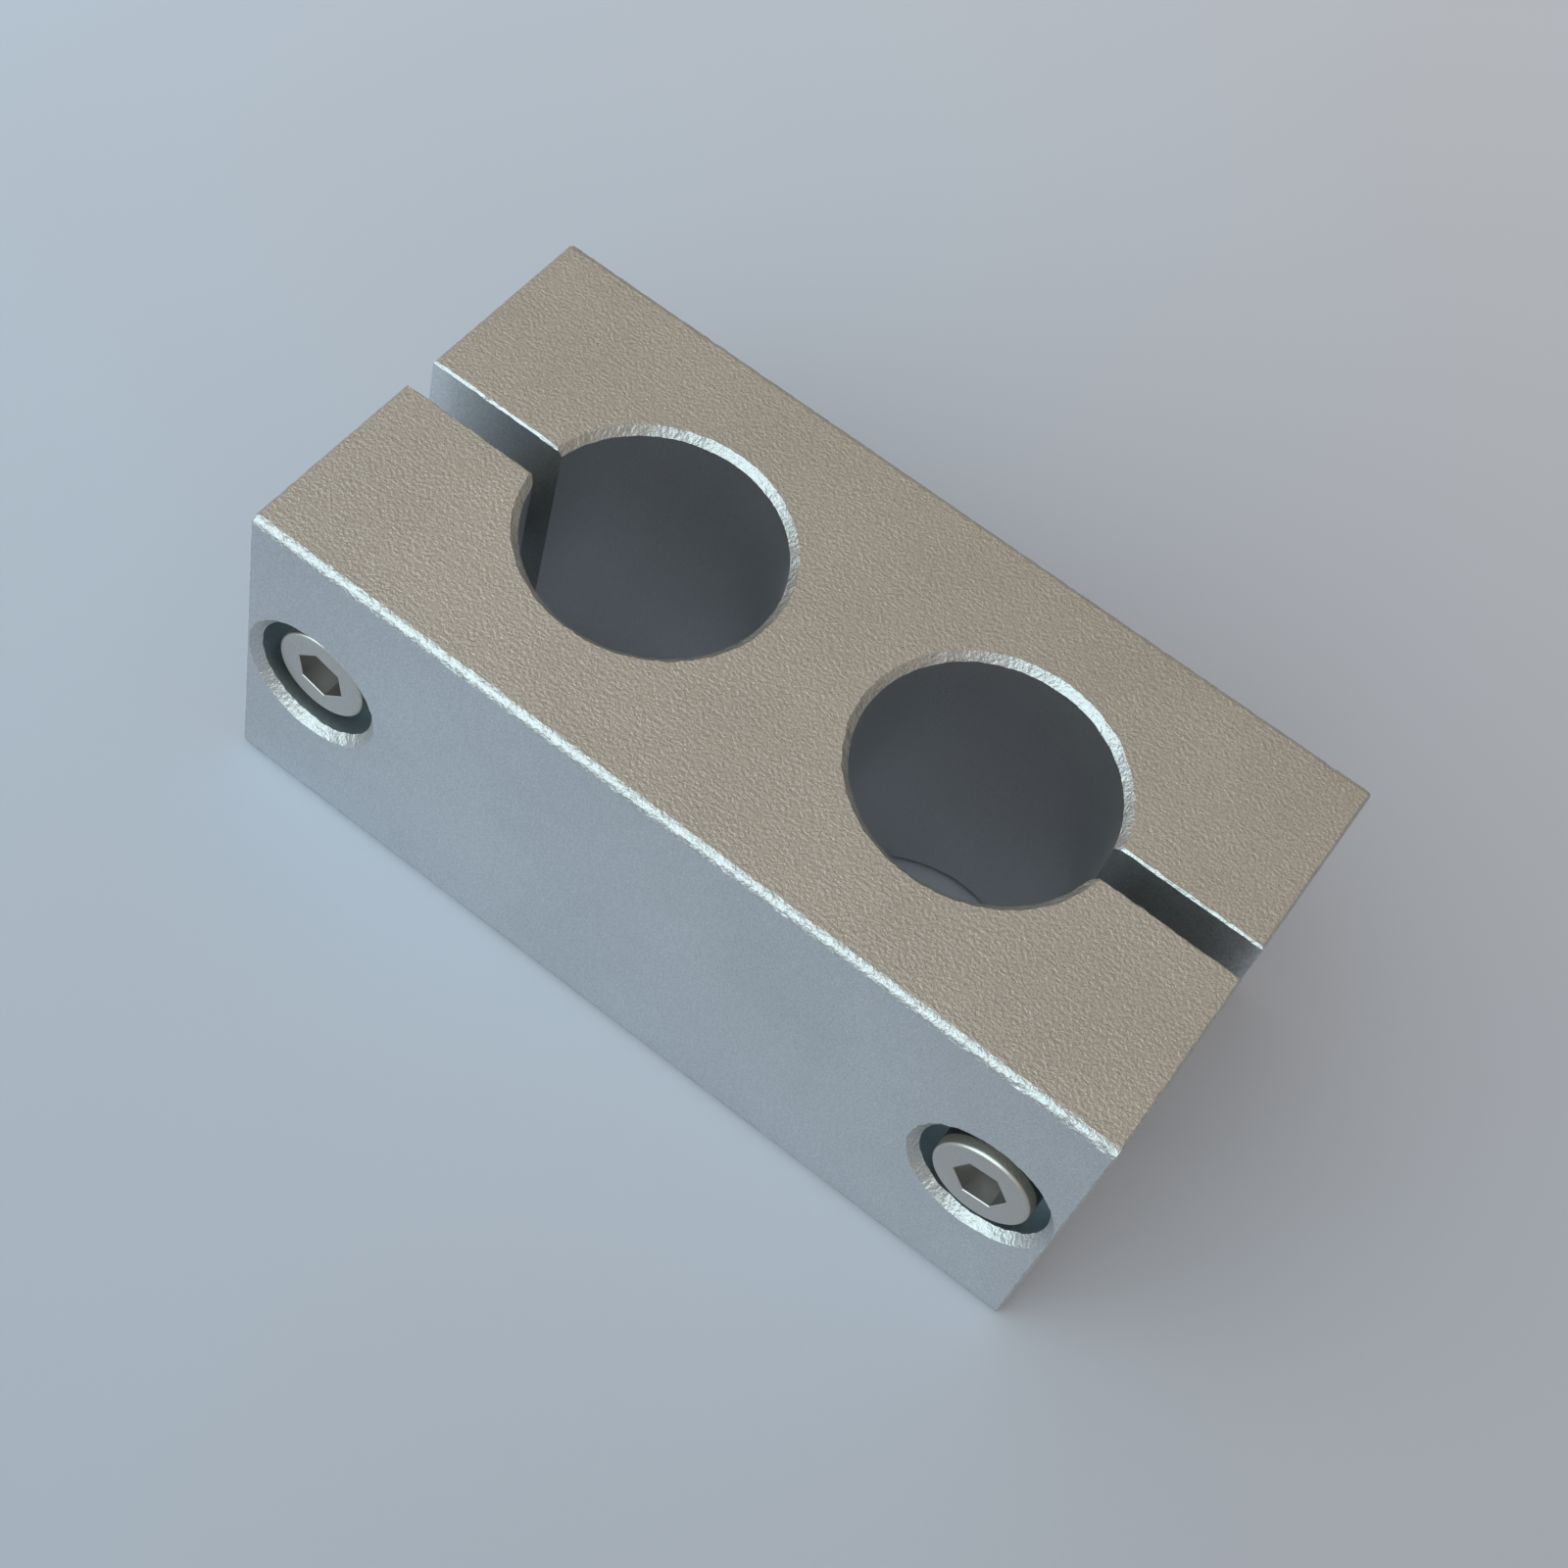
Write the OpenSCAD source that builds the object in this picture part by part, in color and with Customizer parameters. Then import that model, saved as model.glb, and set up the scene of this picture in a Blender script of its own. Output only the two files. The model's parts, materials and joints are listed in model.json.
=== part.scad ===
// Split clamp block that joins two parallel rods side by side.
// One aluminium bar is bored twice, sawn open from each bore to its own end,
// and closed on the rods by one socket head cap screw through each pair of jaws.
// X runs along the row of bores, Y from the screw heads to the back face,
// Z along the bores. The origin is the middle of the bottom face.

/* [Block] */
// Distance between the axes of the two bores
hole_pitch = 10; // [9:0.1:11]
// Length of the block along the row of bores
block_length = 25; // [24.5:0.1:30]
// Width of the block from the front face to the back face
block_width = 12.5; // [11.5:0.1:16]
// Height of the block along the bores
block_height = 10.2; // [6:0.1:20]
// Chamfer along the four long edges
long_edge_chamfer = 0.2; // [0.05:0.05:0.5]
// Edge break around the two end faces
end_edge_break = 0.08; // [0.02:0.01:0.2]

/* [Bores and slits] */
// Diameter of the bores that grip the rods
bore_d = 6.75; // [5:0.05:7.5]
// Chamfer at both mouths of a bore
bore_chamfer = 0.2; // [0.05:0.05:0.5]
// Width of the saw slit from a bore to its end of the block
slit_width = 1; // [0.5:0.1:1.6]
// Edge break along the top and bottom edges of a slit
slit_edge_break = 0.06; // [0.02:0.01:0.2]
// Rounding of the front jaw's corner where a slit opens into its bore
jaw_corner_r = 0.4; // [0.1:0.05:0.6]
// How far the arc of that corner laps over the walls that it meets
jaw_corner_lap = 0.02; // [0.01:0.01:0.04]

/* [Screw seats] */
// Distance from a screw's axis to its end of the block
screw_inset = 2.14; // [2.14:0.02:2.6]
// Diameter of the flat-bottomed pocket round a screw head
pocket_d = 3.62; // [3.2:0.02:3.64]
// Depth of the pocket below the front face
pocket_depth = 1.95; // [1.6:0.05:2.4]
// Chamfer on the rim of the pocket
pocket_chamfer = 0.24; // [0.06:0.02:0.24]
// Gap all round the screw in the hole through the front jaw
clearance_gap = 0.1; // [0.05:0.01:0.2]
// Gap left all round the screw in the tapped hole through the back jaw
thread_gap = 0.02; // [0.01:0.01:0.05]
// Countersink where the tapped hole comes out of the back face
tap_chamfer = 0.15; // [0.05:0.05:0.4]

/* [Cap screws] */
// Diameter of the screw's thread
screw_d = 1.6; // [1.2:0.1:2]
// Diameter of the head
head_d = 2.72; // [2.4:0.02:3.1]
// Height of the head
head_h = 1.6; // [1.1:0.05:1.75]
// Rounding of the head's outer rim
head_rim_r = 0.1; // [0.03:0.01:0.3]
// Hex socket, across its flats
hex_across_flats = 1.3; // [0.9:0.01:1.4]
// Depth of the hex socket's straight walls
hex_depth = 0.9; // [0.4:0.05:1]
// Stock that the broach takes off each flat of the drilled hole
broach_stock = 0.04; // [0.02:0.01:0.1]
// Included angle of the drill point at the bottom of the socket
drill_point_angle = 120; // [90:1:150]
// Chamfer on the screw's tip
tip_chamfer = 0.25; // [0.1:0.05:0.4]
// Distance from a seated screw's tip to the back face
tip_recess = 0.7; // [0.2:0.05:2]
// How far the right-hand screw is backed off from its seat
right_backoff = 0.32; // [0:0.02:0.34]
// Turn of the left-hand screw's hex socket, in degrees
left_hex_turn = 17; // [-30:1:30]
// Turn of the right-hand screw's hex socket, in degrees
right_hex_turn = -8; // [-30:1:30]

/* [Hidden] */
$fn = 96;
hex_sides = 6;
// Overshoot of every cut past the face that it opens through
cut_margin = 0.5;
bore_r = bore_d / 2;
bore_x = hole_pitch / 2;
screw_x = block_length / 2 - screw_inset;
screw_z = block_height / 2;
screw_r = screw_d / 2;
pocket_r = pocket_d / 2;
clearance_r = screw_r + clearance_gap;
tapped_r = screw_r + thread_gap;
head_r = head_d / 2;
// A seated screw reaches from the pocket's floor to its recess in the back face
shank_l = block_width - pocket_depth - tip_recess;
flat_r = hex_across_flats / 2;
socket_r = flat_r / cos(180 / hex_sides);

// Rectangle of the given size about the origin, with its four corners cut at 45 degrees
module chamfered_rect(size, chamfer) {
    diamond = ((size.x + size.y) / 2 - chamfer) * sqrt(2);
    intersection() {
        square(size, center = true);
        rotate(45) square(diamond, center = true);
    }
}

// The bar before any hole: three chamfered prisms crossed at right angles, one for each set of four edges
module bar() {
    translate([0, 0, block_height / 2]) intersection() {
        rotate([90, 0, 90]) linear_extrude(block_length, center = true)
            chamfered_rect([block_width, block_height], long_edge_chamfer);
        rotate([90, 0, 0]) linear_extrude(block_width, center = true)
            chamfered_rect([block_length, block_height], end_edge_break);
        linear_extrude(block_height, center = true)
            chamfered_rect([block_length, block_width], end_edge_break);
    }
}

// Through bore on the Z axis, with a chamfer at each mouth
module bore_cut() {
    flare_r = bore_r + bore_chamfer + cut_margin;
    rotate_extrude() polygon([
        [0, -cut_margin],
        [flare_r, -cut_margin],
        [bore_r, bore_chamfer],
        [bore_r, block_height - bore_chamfer],
        [flare_r, block_height + cut_margin],
        [0, block_height + cut_margin],
    ]);
}

// Sliver between the bore, the slit's +Y wall and the arc that rounds the jaw corner between them.
// The arc laps over both walls, so it meets each at a slight angle, as a filed corner does.
module jaw_corner_cut() {
    wall_y = slit_width / 2;
    reach = jaw_corner_r - jaw_corner_lap;
    arc_y = wall_y + reach;
    arc_x = sqrt(pow(bore_r + reach, 2) - pow(arc_y, 2));
    on_bore = bore_r / (bore_r + reach);
    difference() {
        polygon([[0, 0], [arc_x * on_bore, arc_y * on_bore], [arc_x, wall_y], [arc_x, 0]]);
        translate([arc_x, arc_y]) circle(jaw_corner_r);
    }
}

// Saw slit from the axis of a bore out through the block's +X end, with the front jaw's corner rounded
module slit_cut() {
    reach = block_length / 2 - bore_x + cut_margin;
    height = block_height + 2 * cut_margin;
    translate([0, 0, -cut_margin]) linear_extrude(height) {
        translate([0, -slit_width / 2]) square([reach, slit_width]);
        mirror([0, 1]) jaw_corner_cut();
    }
    for (face_z = [0, block_height])
        translate([0, 0, face_z]) rotate([90, 0, 90]) linear_extrude(reach)
            rotate(45) square((slit_width / 2 + slit_edge_break) * sqrt(2), center = true);
}

// Seat of one screw, drilled along +Z from the front face: rimmed pocket for the head,
// clearance hole to the slit, tapped hole from the slit to the back face
module screw_seat_cut() {
    rim_r = pocket_r + pocket_chamfer + cut_margin;
    exit_r = tapped_r + tap_chamfer + cut_margin;
    rotate_extrude() polygon([
        [0, -cut_margin],
        [rim_r, -cut_margin],
        [pocket_r, pocket_chamfer],
        [pocket_r, pocket_depth],
        [clearance_r, pocket_depth],
        [clearance_r, block_width / 2],
        [tapped_r, block_width / 2],
        [tapped_r, block_width - tap_chamfer],
        [exit_r, block_width + cut_margin],
        [0, block_width + cut_margin],
    ]);
}

// Places what is drawn along +Z from the origin on a screw's axis, starting at the front face
module on_screw_axis(side) {
    translate([side * screw_x, -block_width / 2, screw_z]) rotate([-90, 0, 0]) children();
}

module clamp_block() {
    color([0.64, 0.65, 0.64]) difference() {
        bar();
        for (side = [0, 1]) mirror([side, 0, 0]) translate([bore_x, 0, 0]) {
            bore_cut();
            slit_cut();
        }
        for (side = [-1, 1]) on_screw_axis(side) screw_seat_cut();
    }
}

// Half section of a screw on its axis: rounded head from 0 to head_h, then the plain shank and its tip
module screw_section() {
    tip_z = head_h + shank_l;
    square([head_r - head_rim_r, head_h]);
    translate([0, head_rim_r]) square([head_r, head_h - head_rim_r]);
    translate([head_r - head_rim_r, head_rim_r]) circle(head_rim_r);
    polygon([
        [0, 0],
        [screw_r, 0],
        [screw_r, tip_z - tip_chamfer],
        [screw_r - tip_chamfer, tip_z],
        [0, tip_z],
    ]);
}

// Hex socket broached from the top of the head over the drilled hole that it was started from
module hex_socket_cut() {
    drill_r = flat_r - broach_stock;
    translate([0, 0, -cut_margin]) cylinder(r = socket_r, h = hex_depth + cut_margin, $fn = hex_sides);
    rotate_extrude() polygon([
        [0, 0],
        [drill_r, 0],
        [drill_r, hex_depth],
        [0, hex_depth + drill_r / tan(drill_point_angle / 2)],
    ]);
}

module cap_screw(hex_turn) {
    difference() {
        rotate_extrude() screw_section();
        rotate(hex_turn) hex_socket_cut();
    }
}

module clamp_screws() {
    seated = pocket_depth - head_h;
    color([0.55, 0.55, 0.56]) {
        on_screw_axis(-1) translate([0, 0, seated]) cap_screw(left_hex_turn);
        on_screw_axis(1) translate([0, 0, seated - right_backoff]) cap_screw(right_hex_turn);
    }
}

clamp_block();
clamp_screws();
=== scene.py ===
import json
import math

import bmesh
import bpy
from mathutils import Matrix, Vector, noise


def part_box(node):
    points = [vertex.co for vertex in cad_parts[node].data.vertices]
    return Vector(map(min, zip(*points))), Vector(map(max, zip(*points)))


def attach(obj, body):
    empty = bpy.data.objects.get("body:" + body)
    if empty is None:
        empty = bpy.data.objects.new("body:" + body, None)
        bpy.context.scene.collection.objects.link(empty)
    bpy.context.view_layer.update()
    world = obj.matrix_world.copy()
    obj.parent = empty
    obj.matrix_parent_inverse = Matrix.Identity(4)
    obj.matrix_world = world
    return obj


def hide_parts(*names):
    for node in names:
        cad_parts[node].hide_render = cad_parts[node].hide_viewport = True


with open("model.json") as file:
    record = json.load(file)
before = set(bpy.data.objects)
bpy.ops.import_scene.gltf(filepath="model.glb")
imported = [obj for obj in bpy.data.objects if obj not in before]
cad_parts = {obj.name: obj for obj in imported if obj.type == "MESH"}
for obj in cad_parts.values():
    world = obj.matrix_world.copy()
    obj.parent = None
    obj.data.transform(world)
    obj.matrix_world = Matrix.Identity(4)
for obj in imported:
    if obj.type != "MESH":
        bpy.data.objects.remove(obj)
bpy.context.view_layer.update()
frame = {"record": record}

# Clamp block: one length of aluminium bar with rounded edges, bored twice, sawn open from each bore to
# its own end, and counterbored and tapped for the screws. The whole block is bead blasted and clear
# anodised afterwards, which leaves a grainy top, a finer front and bright, slightly eaten edges.
MM = 0.001
block_low, block_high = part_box("clamp_block")
block_length, block_width, block_height = (block_high - block_low) / MM
long_edge_r = 0.22
long_edge_segments = 5
end_edge_r = 0.08
end_edge_segments = 3
edge_step = 0.1
nearly_all = 0.9
BLASTED, FINE, EDGE, BORE, SLIT, POCKET, TAPPED = range(7)


def long_edges(mesh):
    """The edges of the bar that run nearly all its length."""
    return [edge for edge in mesh.edges if edge.calc_length() > block_length * nearly_all]


def break_edges(mesh, edges, size, segments, slot):
    """Bevels edges, or rounds them with more segments, and gives the new faces a finish."""
    made = bmesh.ops.bevel(
        mesh, geom=edges, offset=size, offset_type="OFFSET", affect="EDGES",
        segments=segments, profile=0.5, material=-1)
    for face in made["faces"]:
        face.material_index = slot


# The rounded edges of the bar are cut into short lengths that can wear, and its flat faces stay whole.
bar = bmesh.new()
bmesh.ops.create_cube(bar, size=1)
bmesh.ops.scale(bar, verts=bar.verts, vec=(block_length, block_width, block_height))
bmesh.ops.translate(bar, verts=bar.verts, vec=(0, 0, block_height / 2))
for face in bar.faces:
    face.material_index = FINE if abs(face.normal.y) > nearly_all else BLASTED
break_edges(bar, long_edges(bar), long_edge_r, long_edge_segments, EDGE)
bar.normal_update()
end_edges = [edge for edge in bar.edges if any(abs(face.normal.x) > nearly_all for face in edge.link_faces)]
break_edges(bar, end_edges, end_edge_r, end_edge_segments, EDGE)
bmesh.ops.subdivide_edges(
    bar, edges=long_edges(bar), cuts=round(block_length / edge_step), use_grid_fill=True)
rim_edges = [edge for edge in bar.edges if any(face.material_index == EDGE for face in edge.link_faces)]
for length in (block_width, block_height):
    span = length - 2 * long_edge_r
    cross_edges = [edge for edge in rim_edges if abs(edge.calc_length() - span) < long_edge_r]
    bmesh.ops.subdivide_edges(bar, edges=cross_edges, cuts=round(length / edge_step), use_grid_fill=True)
seams = [edge for edge in bar.edges if all(face.material_index != EDGE for face in edge.link_faces)]
bmesh.ops.dissolve_edges(bar, edges=seams, use_verts=False)

# The blasting leaves dents, a dust of finer pits among them, and a broad, faint mottle.
mottle_size = 4.0
pits_per_dent = 2.3
pit_contrast = 3


def plug(tree, taker, inputs):
    """Sets each named input of a node to a value, or links it from a socket."""
    for name, value in inputs.items():
        if isinstance(value, bpy.types.NodeSocket):
            tree.links.new(value, taker.inputs[name])
        else:
            taker.inputs[name].default_value = value


def node(tree, kind, inputs=None, **settings):
    """A shader node with its settings and its inputs."""
    made = tree.nodes.new("ShaderNode" + kind)
    for name, value in settings.items():
        setattr(made, name, value)
    plug(tree, made, inputs or {})
    return made


def maths(tree, operation, *values):
    """The result of one sum, product or the like."""
    return node(tree, "Math", dict(enumerate(values)), operation=operation).outputs["Value"]


def graded(tree, value, low, high, start=0.0, end=1.0):
    """A value that goes from low to high while the given one goes from start to end."""
    ends = {"From Min": start, "From Max": end, "To Min": low, "To Max": high}
    return node(tree, "MapRange", {"Value": value, **ends}).outputs["Result"]


def blend_colour(tree, share, first, second, blend_type="MIX"):
    """Two colours mixed, or multiplied, by a share of the second one."""
    colours = {"Factor": share, "A": first, "B": second}
    return node(tree, "Mix", colours, data_type="RGBA", blend_type=blend_type).outputs["Result"]


def new_finish(name):
    """A new material, its node tree and the Principled shader that its finish is plugged into."""
    material = bpy.data.materials.new(name)
    material.use_nodes = True
    tree = material.node_tree
    return material, tree, tree.nodes["Principled BSDF"]


blasting = bpy.data.node_groups.new("blasting", "ShaderNodeTree")
blasting.interface.new_socket("Dent size", in_out="INPUT", socket_type="NodeSocketFloat")
for mask in ("Dents", "Pits", "Mottle"):
    blasting.interface.new_socket(mask, in_out="OUTPUT", socket_type="NodeSocketFloat")
given = blasting.nodes.new("NodeGroupInput").outputs
result = blasting.nodes.new("NodeGroupOutput").inputs
place = node(blasting, "TexCoord").outputs["Object"]
dent_scale = maths(blasting, "DIVIDE", 1 / MM, given["Dent size"])
pit_scale = maths(blasting, "MULTIPLY", dent_scale, pits_per_dent)
mottle_scale = 1 / (mottle_size * MM)
dents = node(blasting, "TexNoise", {"Vector": place, "Scale": dent_scale, "Detail": 2.0, "Roughness": 0.55})
pits = node(blasting, "TexNoise", {"Vector": place, "Scale": pit_scale, "Detail": 1.0})
mottle = node(blasting, "TexNoise", {"Vector": place, "Scale": mottle_scale, "Detail": 3.0})
for mask, pattern in (("Dents", dents), ("Pits", pits), ("Mottle", mottle)):
    blasting.links.new(pattern.outputs["Fac"], result[mask])


def grained_metal(name, colour, roughness, dent_size, depth, tone):
    """Metal with dents of one size and depth in millimetres, and with pits and mottle of one strength."""
    material, tree, shader = new_finish(name)
    grain = node(tree, "Group", {"Dent size": dent_size}, node_tree=blasting).outputs
    broad_tone = graded(tree, grain["Mottle"], 1 - tone, 1 + tone)
    pit_tone = graded(tree, grain["Pits"], 1 - pit_contrast * tone, 1 + pit_contrast * tone)
    grey = maths(tree, "MULTIPLY", broad_tone, pit_tone)
    dented = node(tree, "Bump", {"Strength": 1.0, "Distance": depth * MM, "Height": grain["Dents"]})
    plug(tree, shader, {
        "Base Color": blend_colour(tree, 1.0, (*colour, 1), grey, "MULTIPLY"),
        "Metallic": 1.0,
        "Roughness": graded(tree, grain["Pits"], roughness - tone, roughness + tone),
        "Normal": dented.outputs["Normal"],
    })
    return material


# The top, bottom and ends get a warmer, beige base colour than the front and back, though all are the same
# clear anodised metal: a painted warm reflection of the room on them, besides their coarser grain.
block_finishes = {
    BLASTED: grained_metal(
        "blasted_face_painted_warm_reflection", (0.6, 0.555, 0.495), roughness=0.48, dent_size=0.1, depth=0.036, tone=0.1),
    FINE: grained_metal(
        "fine_face", (0.645, 0.66, 0.67), roughness=0.42, dent_size=0.12, depth=0.016, tone=0.1),
    EDGE: grained_metal(
        "blasted_edge", (0.57, 0.565, 0.545), roughness=0.42, dent_size=0.1, depth=0.04, tone=0.1),
    BORE: grained_metal(
        "bore_wall", (0.67, 0.675, 0.68), roughness=0.36, dent_size=0.1, depth=0.01, tone=0.06),
    SLIT: grained_metal(
        "slit_wall", (0.75, 0.765, 0.77), roughness=0.33, dent_size=0.1, depth=0.006, tone=0.1),
    POCKET: grained_metal(
        "pocket_wall", (0.6, 0.66, 0.68), roughness=0.35, dent_size=0.1, depth=0.004, tone=0.1),
    TAPPED: grained_metal(
        "tapped_wall", (0.4, 0.4, 0.4), roughness=0.35, dent_size=0.1, depth=0.004, tone=0.1),
}


def to_object(name, mesh, finishes):
    """Makes a mesh an object in the scene, with its finishes in the order of their slots."""
    data = bpy.data.meshes.new(name)
    mesh.to_mesh(data)
    mesh.free()
    for material in finishes:
        data.materials.append(material)
    made = bpy.data.objects.new(name, data)
    bpy.context.scene.collection.objects.link(made)
    return made


block = to_object("clamp_block_machined", bar, block_finishes.values())

# The two bores go right through, with a chamfer at each mouth.
bore_mounts = [mount for mount in frame["record"]["mounts"] if mount["kind"] == "clamp"]
bore_r = bore_mounts[0]["dims"]["r_mm"]
bore_x = max(mount["pos_m"][0] for mount in bore_mounts) / MM
bore_chamfer = 0.2
bore_steps = 240
cut_margin = 0.5
over, under = block_height + cut_margin, -cut_margin
seam_gap = 1e-4
normal_level, normal_upright = 0.05, 0.999


def turned(profile, steps):
    """A closed solid turned about Z from its half profile of radius and height, axis to axis."""
    mesh = bmesh.new()
    points = [mesh.verts.new((radius, 0, height)) for radius, height in profile]
    edges = [mesh.edges.new(pair) for pair in zip(points, points[1:])]
    bmesh.ops.spin(
        mesh, geom=points + edges, cent=(0, 0, 0), axis=(0, 0, 1), dvec=(0, 0, 0),
        angle=math.tau, steps=steps, use_merge=True)
    bmesh.ops.remove_doubles(mesh, verts=mesh.verts, dist=seam_gap)
    bmesh.ops.recalc_face_normals(mesh, faces=mesh.faces)
    return mesh


def cutter_slots(mesh, wall):
    """Gives the sloped faces of a cutter the edge slot, and the others the slot of the wall that it cuts."""
    for face in mesh.faces:
        sloped = normal_level < abs(face.normal.z) < normal_upright
        face.material_index = EDGE if sloped else wall


def combine(piece, tool, operation):
    """Cuts a tool's shape out of a piece, or joins it on, and throws the tool away."""
    holder = to_object("tool", tool, piece.data.materials)
    boolean = piece.modifiers.new("combine", "BOOLEAN")
    boolean.operation = operation
    boolean.solver = "EXACT"
    boolean.object = holder
    graph = bpy.context.evaluated_depsgraph_get()
    piece.data = bpy.data.meshes.new_from_object(piece.evaluated_get(graph))
    piece.modifiers.clear()
    bpy.data.objects.remove(holder)


flare_r = bore_r + bore_chamfer + cut_margin
bore_profile = [
    (0, under), (flare_r, under), (bore_r, bore_chamfer), (bore_r, block_height - bore_chamfer),
    (flare_r, over), (0, over)]
for side in (-1, 1):
    boring_bar = turned(bore_profile, bore_steps)
    bmesh.ops.translate(boring_bar, verts=boring_bar.verts, vec=(side * bore_x, 0, 0))
    cutter_slots(boring_bar, BORE)
    combine(block, boring_bar, "DIFFERENCE")

# A saw slit runs from each bore out through its own end, with its top and bottom edges broken.
slit_half = 0.5
slit_chamfer = 0.06
slit_cuts = 80


def prism(points, reach):
    """A closed solid drawn from a flat outline along a vector."""
    mesh = bmesh.new()
    outline = mesh.faces.new([mesh.verts.new(point) for point in points])
    drawn = bmesh.ops.extrude_face_region(mesh, geom=[outline], use_keep_orig=True)
    moved = [part for part in drawn["geom"] if isinstance(part, bmesh.types.BMVert)]
    bmesh.ops.translate(mesh, verts=moved, vec=reach)
    bmesh.ops.recalc_face_normals(mesh, faces=mesh.faces)
    return mesh


flare_y = slit_half + slit_chamfer + cut_margin
blade_side = [
    (flare_y, under), (slit_half, slit_chamfer), (slit_half, block_height - slit_chamfer), (flare_y, over)]
blade = blade_side + [(-y, z) for y, z in reversed(blade_side)]
slit_reach = block_length / 2 - bore_x + cut_margin
for side in (-1, 1):
    saw = prism([(side * bore_x, y, z) for y, z in blade], (side * slit_reach, 0, 0))
    cutter_slots(saw, SLIT)
    saw_edges = [edge for edge in saw.edges if abs(edge.verts[0].co.x - edge.verts[1].co.x) > cut_margin]
    bmesh.ops.subdivide_edges(saw, edges=saw_edges, cuts=slit_cuts, use_grid_fill=True)
    combine(block, saw, "DIFFERENCE")

# The corner between slit and bore is rounded on the front jaw only, by an arc touching both walls.
jaw_corner_r = 0.4
jaw_corner_steps = 16


def arc(centre, radius, start, end, steps):
    """Points on an arc about a centre, from one angle to another in degrees."""
    angles = [math.radians(start + (end - start) * step / steps) for step in range(steps + 1)]
    return [(centre[0] + radius * math.cos(angle), centre[1] + radius * math.sin(angle)) for angle in angles]


corner_y = slit_half + jaw_corner_r
corner_x = math.sqrt((bore_r + jaw_corner_r) ** 2 - corner_y ** 2)
corner_start = 90
corner_end = 180 - math.degrees(math.atan2(corner_y, corner_x))
corner = [
    (bore_x, 0), (bore_x + corner_x, 0),
    *arc((bore_x + corner_x, -corner_y), jaw_corner_r, corner_start, corner_end, jaw_corner_steps)]
for side in (-1, 1):
    corner_cutter = prism([(side * x, y, under) for x, y in corner], (0, 0, over - under))
    cutter_slots(corner_cutter, SLIT)
    combine(block, corner_cutter, "DIFFERENCE")

# The screw seats: a chamfered, flat-bottomed pocket and a clearance hole through the front jaw, and a
# tapped hole that comes out of the back jaw with a small countersink.
screw_inset = 2.14
screw_x = block_length / 2 - screw_inset
screw_z = block_height / 2
slit_depth = block_width / 2
pocket_r = 1.81
pocket_depth = 1.95
pocket_chamfer = 0.24
clearance_r = 0.9
tapped_r = 0.64
tap_mouth_r = 0.97
seat_steps = 128
thread_r = 0.8
thread_pitch = 0.35
thread_height = 0.6134 * thread_pitch
thread_root_r = thread_r - thread_height
crest_flat, root_flat = thread_pitch / 8, thread_pitch / 4
thread_gap = 0.02
turn_steps = 40
spare_turns = 2
plane_gap = 1e-6


def screw_thread(crest_r, root_r, ease, start, end):
    """A threaded rod about Z between two heights, its crest on +X at height 0 and widened by an ease."""
    low = math.floor(start / thread_pitch) - spare_turns
    turns = math.ceil(end / thread_pitch) + spare_turns - low
    half_crest = crest_flat / 2 + ease
    half_root = root_flat / 2 - ease
    ridge = (
        (crest_r, -half_crest), (crest_r, half_crest), (root_r, thread_pitch / 2 - half_root),
        (root_r, thread_pitch / 2 + half_root), (crest_r, thread_pitch - half_crest))
    rod = bmesh.new()
    points = [rod.verts.new((radius, 0, low * thread_pitch + rise)) for radius, rise in ridge]
    edges = [rod.edges.new(pair) for pair in zip(points, points[1:])]
    bmesh.ops.spin(
        rod, geom=points + edges, cent=(0, 0, 0), axis=(0, 0, 1), dvec=(0, 0, thread_pitch / turn_steps),
        angle=math.tau * turns, steps=turn_steps * turns)
    bmesh.ops.remove_doubles(rod, verts=rod.verts, dist=seam_gap)
    for height, outward in ((start, -1), (end, 1)):
        bmesh.ops.bisect_plane(
            rod, geom=rod.verts[:] + rod.edges[:] + rod.faces[:], dist=plane_gap,
            plane_co=(0, 0, height), plane_no=(0, 0, outward), clear_outer=True)
        bmesh.ops.holes_fill(rod, edges=[edge for edge in rod.edges if edge.is_boundary], sides=0)
    bmesh.ops.recalc_face_normals(rod, faces=rod.faces)
    return rod


def lay_on_screw_axis(mesh, side, depth):
    """Lays what is drawn along +Z on one screw's axis, with its origin at a depth below the front face."""
    bmesh.ops.transform(mesh, verts=mesh.verts, matrix=Matrix.Rotation(math.radians(-90), 4, "X"))
    bmesh.ops.translate(mesh, verts=mesh.verts, vec=(side * screw_x, depth - block_width / 2, screw_z))


seat_profile = [
    (0, under), (pocket_r + pocket_chamfer + cut_margin, under), (pocket_r, pocket_chamfer),
    (pocket_r, pocket_depth), (clearance_r, pocket_depth), (clearance_r, slit_depth), (tapped_r, slit_depth),
    (tapped_r, block_width - tap_mouth_r + tapped_r), (tap_mouth_r + cut_margin, block_width + cut_margin),
    (0, block_width + cut_margin)]
for side in (-1, 1):
    tap = screw_thread(
        thread_r + thread_gap, thread_root_r + thread_gap, ease=thread_gap / 2,
        start=slit_depth, end=block_width + cut_margin)
    for face in tap.faces:
        face.material_index = TAPPED
    lay_on_screw_axis(tap, side, depth=0)
    combine(block, tap, "DIFFERENCE")
    counterbore = turned(seat_profile, seat_steps)
    cutter_slots(counterbore, POCKET)
    for face in counterbore.faces:
        if face.calc_center_median().z > slit_depth:
            face.material_index = TAPPED
    lay_on_screw_axis(counterbore, side, depth=0)
    combine(block, counterbore, "DIFFERENCE")

# The blasting eats a little into the rims of the bright edges, so that none of them runs dead straight.
# Each wave of this wear has its share of the reach and its length.
wear_reach = 0.045
wear_waves = ((0.7, 0.3), (0.5, 0.12))
wear_seed = 1
merge_gap = 0.001
crease_angle = math.radians(30)


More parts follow.
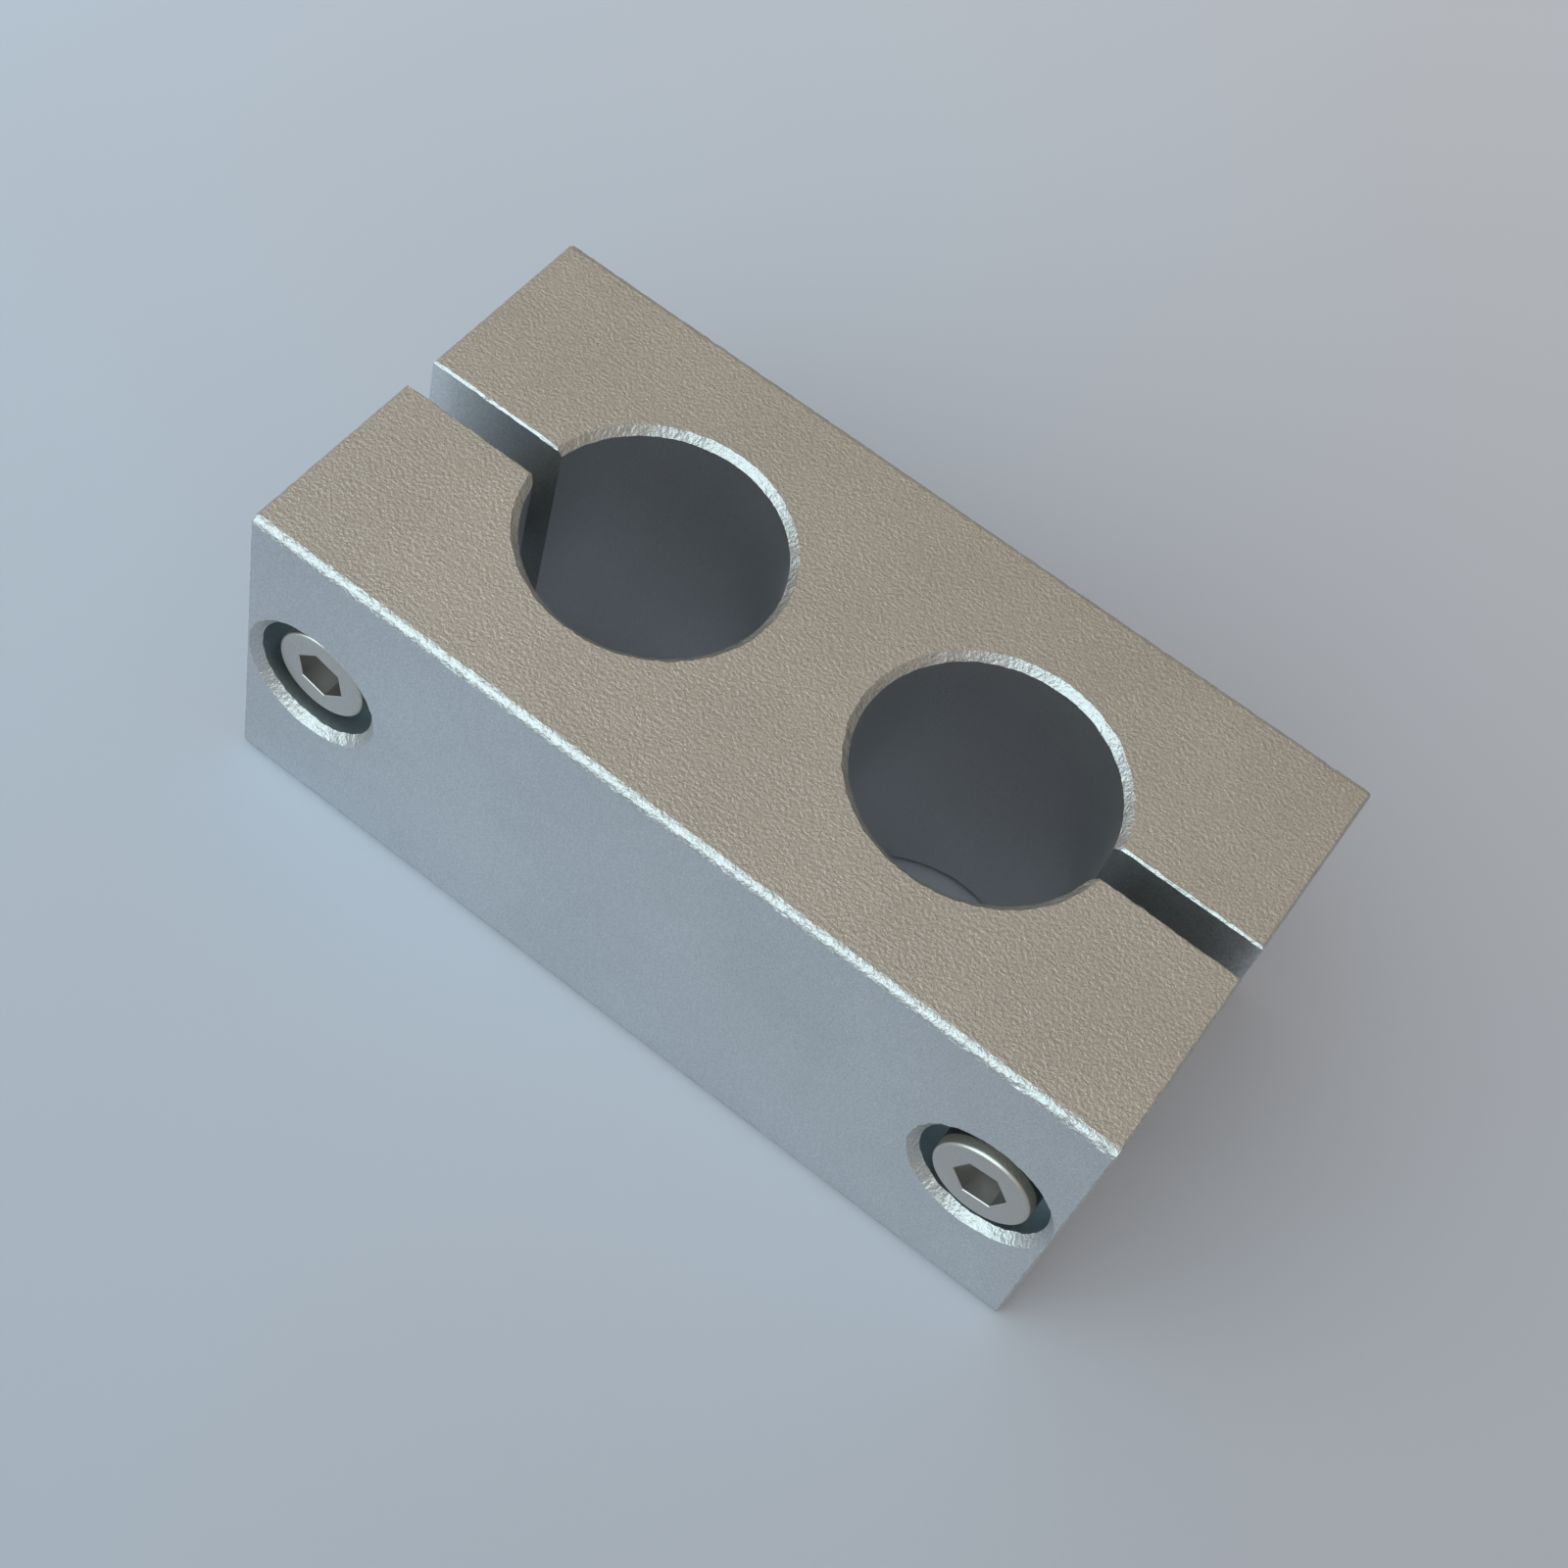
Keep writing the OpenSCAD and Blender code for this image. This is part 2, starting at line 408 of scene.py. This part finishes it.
def clean_cuts(mesh):
    """Merges the points and drops the needle faces that lie closer together than any real shape does."""
    bmesh.ops.remove_doubles(mesh, verts=mesh.verts, dist=merge_gap)
    bmesh.ops.dissolve_degenerate(mesh, edges=mesh.edges, dist=merge_gap)
    bmesh.ops.recalc_face_normals(mesh, faces=mesh.faces)


def wear_edges(mesh, reach, waves):
    """Moves the rims of the bright edges along the faces beside them, and never out of the block's box."""
    moves = []
    for vert in mesh.verts:
        beside = [face for face in vert.link_faces if face.material_index != EDGE]
        if len(beside) == len(vert.link_faces):
            continue
        shift = Vector()
        for share, wavelength in waves:
            shift += noise.noise_vector(vert.co / wavelength) * reach * share
        for face in beside:
            shift -= shift.dot(face.normal) * face.normal
        if not beside:
            shift = -abs(shift.dot(vert.normal)) * vert.normal
        moves.append((vert, shift))
    for vert, shift in moves:
        moved = zip(block_low / MM, vert.co + shift, block_high / MM)
        vert.co = [min(max(low, at), high) for low, at, high in moved]


def shade(mesh):
    """Shades a mesh round over its shallow edges, and breaks the shading where one finish meets another."""
    bmesh.ops.triangulate(mesh, faces=mesh.faces)
    clean_cuts(mesh)
    for face in mesh.faces:
        face.smooth = True
    for edge in mesh.edges:
        slots = {face.material_index for face in edge.link_faces}
        edge.smooth = len(slots) == 1 and edge.calc_face_angle(0.0) < crease_angle


worn = bmesh.new()
worn.from_mesh(block.data)
clean_cuts(worn)
noise.seed_set(wear_seed)
wear_edges(worn, wear_reach, wear_waves)
shade(worn)
bmesh.ops.scale(worn, verts=worn.verts, vec=(MM, MM, MM))
worn.to_mesh(block.data)
worn.free()
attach(block, "root")
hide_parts("clamp_block")

# Cap screws: two M1.6 socket head cap screws of stainless steel, headed, broached and thread rolled.
# The left one is screwed home in its pocket and the right one stands backed off by nearly one turn.
head_r = 1.36
head_h = 1.6
head_rim_r = 0.1
head_rim_steps = 6
head_steps = 96
plain_band = 0.24
hex_sides = 6
half_side = math.pi / hex_sides
hex_flat_r = 0.65
hex_corner_r = hex_flat_r / math.cos(half_side)
hex_depth = 0.9
hex_lip = 0.02
broach_stock = 0.04
drill_r = hex_flat_r - broach_stock
drill_half_angle = math.radians(60)
drill_end = hex_depth + drill_r / math.tan(drill_half_angle)
tip_recess = 0.7
tip_chamfer = 0.25
shank_l = block_width - pocket_depth - tip_recess
shank_root = 0.1
tip = head_h + shank_l
FACED, SHADED_SOCKET, FLANK, SHADED_SKIRT = range(4)
screw_finishes = {
    FACED: grained_metal(
        "steel_faced", (0.6, 0.575, 0.53), roughness=0.32, dent_size=0.08, depth=0.003, tone=0.08),
    # The socket walls are painted darker than the head's face: painted shade standing in for the shade
    # inside the hex socket.
    SHADED_SOCKET: grained_metal(
        "steel_socket_painted_shade", (0.54, 0.525, 0.5), roughness=0.34, dent_size=0.08, depth=0.001, tone=0.02),
    FLANK: grained_metal(
        "steel_flank", (0.62, 0.58, 0.5), roughness=0.5, dent_size=0.06, depth=0.012, tone=0.15),
    # Below the plain band the head's side is painted dark grey: painted shade standing in for the pocket's
    # shadow on it. The band above is the lit copy of the same steel side.
    SHADED_SKIRT: grained_metal(
        "steel_skirt_painted_shade", (0.25, 0.25, 0.25), roughness=0.4, dent_size=0.1, depth=0.03, tone=0.15),
}
head_rim = arc((head_r - head_rim_r, head_rim_r), head_rim_r, -90, 0, head_rim_steps)
painted_shade_start = head_rim_r + plain_band
head_profile = [(0, 0), *head_rim, (head_r, painted_shade_start), (head_r, head_h), (0, head_h)]
drill_profile = [(0, under), (drill_r, under), (drill_r, hex_depth), (0, drill_end)]
point_in, point_out = thread_r - tip_chamfer - cut_margin, thread_r + cut_margin
point_low, point_high = tip - tip_chamfer - cut_margin, tip + cut_margin
point_profile = [
    (point_in, point_high), (point_out, point_high), (point_out, point_low), (point_in, point_high)]
for name, side, backoff, hex_turn in (("left", -1, 0.0, 17), ("right", 1, 0.32, -8)):
    blank = turned(head_profile, head_steps)
    # Faces of the side below the plain band take the painted shade finish.
    for face in blank.faces:
        if abs(face.normal.z) > normal_level:
            face.material_index = FACED
        else:
            face.material_index = FLANK if face.calc_center_median().z < painted_shade_start else SHADED_SKIRT
    screw = to_object("cap_screw_" + name, blank, screw_finishes.values())

    broach = bmesh.new()
    bmesh.ops.create_cone(
        broach, cap_ends=True, segments=hex_sides, radius1=hex_corner_r, radius2=hex_corner_r,
        depth=hex_depth + cut_margin)
    bmesh.ops.translate(broach, verts=broach.verts, vec=(0, 0, (hex_depth - cut_margin) / 2))
    bmesh.ops.rotate(
        broach, verts=broach.verts, cent=(0, 0, 0),
        matrix=Matrix.Rotation(math.radians(hex_turn) + half_side, 3, "Z"))
    for face in broach.faces:
        face.material_index = SHADED_SOCKET
    combine(screw, broach, "DIFFERENCE")
    lipped = bmesh.new()
    lipped.from_mesh(screw.data)
    lip = [
        edge for edge in lipped.edges
        if {face.material_index for face in edge.link_faces} == {FACED, SHADED_SOCKET}]
    break_edges(lipped, lip, hex_lip, segments=1, slot=FACED)
    lipped.to_mesh(screw.data)
    lipped.free()
    drill = turned(drill_profile, head_steps)
    for face in drill.faces:
        face.material_index = SHADED_SOCKET
    combine(screw, drill, "DIFFERENCE")

    seat = pocket_depth - head_h - backoff
    thread = screw_thread(
        thread_r, thread_root_r, ease=0, start=seat + head_h - shank_root, end=seat + tip)
    bmesh.ops.translate(thread, verts=thread.verts, vec=(0, 0, -seat))
    combine(screw, thread, "UNION")
    combine(screw, turned(point_profile, head_steps), "DIFFERENCE")

    placed = bmesh.new()
    placed.from_mesh(screw.data)
    clean_cuts(placed)
    lay_on_screw_axis(placed, side, depth=seat)
    shade(placed)
    bmesh.ops.scale(placed, verts=placed.verts, vec=(MM, MM, MM))
    placed.to_mesh(screw.data)
    placed.free()
    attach(screw, "root")
    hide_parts("clamp_screws")

# Studio: a pale floor with painted light and painted shade on it, a window-like soft light from the front
# left, a dim warm room behind the block, and the camera where the photograph was taken from.
floor_size = 8.0
floor_drop = 0.01 * MM
painted_light_way = (-0.68, 0.73, 0)
painted_light_reach = 0.035
painted_shade_way = (0.81, 0.59, 0)
painted_shade_reach = 0.03
cool_floor = (0.44, 0.47, 0.535, 1)
painted_shade_floor = (0.435, 0.41, 0.43, 1)
floor_mesh = bmesh.new()
bmesh.ops.create_grid(floor_mesh, x_segments=1, y_segments=1, size=floor_size / 2)
bmesh.ops.translate(floor_mesh, verts=floor_mesh.verts, vec=(0, 0, -floor_drop))
floor_paint, floor_tree, floor_shader = new_finish("pale_floor")
floor_place = node(floor_tree, "TexCoord").outputs["Object"]


def along(tree, point, way):
    """How far a point or a direction lies along a way."""
    return node(tree, "VectorMath", {0: point, 1: way}, operation="DOT_PRODUCT").outputs["Value"]


clouds = node(floor_tree, "TexNoise", {"Vector": floor_place, "Scale": 35.0, "Detail": 1.0}).outputs["Fac"]
drift = graded(floor_tree, clouds, low=-0.35, high=0.35)
# Painted shade: the floor is painted warmer toward the block's right end and back, where its shadow falls,
# standing in for the warm room light in that shadow.
painted_shade_warmth = graded(
    floor_tree, along(floor_tree, floor_place, painted_shade_way), low=-0.15, high=1.0,
    start=-painted_shade_reach, end=painted_shade_reach)
floor_hue = blend_colour(floor_tree, maths(floor_tree, "ADD", painted_shade_warmth, drift), cool_floor, painted_shade_floor)
# Painted light: the floor is painted lighter toward the back left, standing in for light falling unevenly on
# it.
painted_lightness = graded(
    floor_tree, along(floor_tree, floor_place, painted_light_way), low=0.96, high=1.32,
    start=-painted_light_reach, end=painted_light_reach)
floor_colour = blend_colour(floor_tree, 1.0, floor_hue, painted_lightness, "MULTIPLY")
plug(floor_tree, floor_shader, {"Base Color": floor_colour, "Roughness": 0.9})
floor = to_object("floor", floor_mesh, [floor_paint])

window_side = Vector((-0.34, -0.68, 0.61)).normalized()
window_distance = 2.0
window = bpy.data.lights.new("window", "AREA")
window.shape = "SQUARE"
window.size = 2.8
window.energy = 33
window.color = (0.7, 0.95, 1.0)
window_object = bpy.data.objects.new("window", window)
window_object.location = window_side * window_distance
window_object.rotation_mode = "QUATERNION"
window_object.rotation_quaternion = (-window_side).to_track_quat("-Z", "Y")
bpy.context.scene.collection.objects.link(window_object)

# The walls of the room, by how far they lie toward the window, from 0 opposite it to 1 at it.
far_wall = (0.2, (0.33, 0.29, 0.26, 1))
side_wall = (0.54, (0.45, 0.39, 0.31, 1))
window_wall = (1.0, (0.75, 0.83, 0.92, 1))
room = bpy.data.worlds.new("room")
room.use_nodes = True
bpy.context.scene.world = room
room_tree = room.node_tree
sight = node(room_tree, "TexCoord").outputs["Generated"]
toward_window = graded(
    room_tree, along(room_tree, sight, window_side), low=0.0, high=1.0, start=-1.0, end=1.0)
room_ramp = node(room_tree, "ValToRGB", {"Fac": toward_window})
stops = room_ramp.color_ramp.elements
stops.new(position=0.5)
for stop, (share, colour) in zip(stops, (far_wall, side_wall, window_wall)):
    stop.position = share
    stop.color = colour
plug(room_tree, room_tree.nodes["Background"], {"Color": room_ramp.outputs["Color"], "Strength": 1.0})

camera_place = Vector((11.245, -33.95, 59.688)) * MM
camera_azimuth = math.radians(20.526)
camera_elevation = math.radians(55.315)
camera_roll = math.radians(18.590)
camera = bpy.data.cameras.new("camera")
camera.sensor_width = 36
camera.lens = 58.183
camera.shift_x = 0.0217
camera.shift_y = -0.0625
camera.clip_start = 1 * MM
camera_object = bpy.data.objects.new("camera", camera)
camera_object.matrix_world = (
    Matrix.Translation(camera_place)
    @ Matrix.Rotation(camera_azimuth, 4, "Z")
    @ Matrix.Rotation(math.pi / 2 - camera_elevation, 4, "X")
    @ Matrix.Rotation(camera_roll, 4, "Z"))
bpy.context.scene.collection.objects.link(camera_object)
bpy.context.scene.camera = camera_object
bpy.context.scene.view_settings.view_transform = "Standard"
